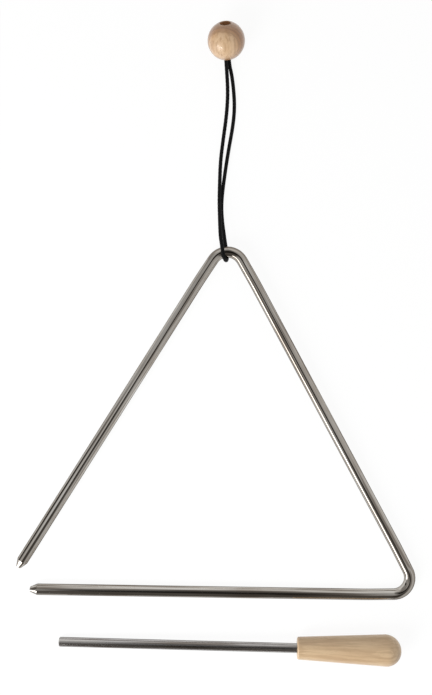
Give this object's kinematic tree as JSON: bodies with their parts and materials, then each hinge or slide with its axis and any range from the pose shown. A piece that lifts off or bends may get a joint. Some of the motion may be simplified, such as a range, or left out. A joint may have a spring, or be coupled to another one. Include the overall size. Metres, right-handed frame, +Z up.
{
  "type": "triangle instrument",
  "caption": "Triangle of bent round steel bar with an open corner, hung on a doubled cord through a wooden bead, with a steel beater that has a turned wooden handle.",
  "frame": {"origin": "on the table the set lies on, under the middle of the outline without the cord", "axes": "+X along the base bar towards its bent corner, +Y from the beater towards the bead, +Z up from the table"},
  "size_m": [0.2158, 0.3426, 0.02],
  "materials": {
    "bar_steel": "polished nickel plate",
    "rod_steel": "polished nickel plate",
    "bead_wood": "satin clear beech",
    "handle_wood": "satin clear beech",
    "cord_yarn": "black braid"
  },
  "bodies": {
    "triangle": {"triangle_bar": "bar_steel"},
    "loop": {"cord_bight": "cord_yarn"},
    "cord": {"cord_front_strand": "cord_yarn", "cord_rear_strand": "cord_yarn", "cord_knot": "cord_yarn"},
    "bead": {"bead": "bead_wood"},
    "beater": {"beater_rod": "rod_steel", "beater_handle": "handle_wood"}
  },
  "joints": [
    {"name": "cord_lift", "type": "hinge", "parent": "triangle", "child": "loop", "pos_m": [0.0021, 0.04899, 0.0053], "axis": [0.9863, 0.165, 0.0021], "range_deg": [0, 170]},
    {"name": "cord_sway", "type": "hinge", "parent": "loop", "child": "cord", "pos_m": [0.00127, 0.05392, 0.00536], "axis": [0, -0.0125, 0.9999], "range_deg": [-35, 35], "deforming": ["cord_front_strand", "cord_rear_strand"]},
    {"name": "bead_spin", "type": "hinge", "parent": "cord", "child": "bead", "pos_m": [0.0011, 0.16129, 0.01], "axis": [-0.0801, 0.7618, 0.6428], "continuous": true},
    {"name": "beater_lift", "type": "slide", "parent": "triangle", "child": "beater", "axis": [0, 0, 1], "range_m": [0, 0.1]}
  ]
}
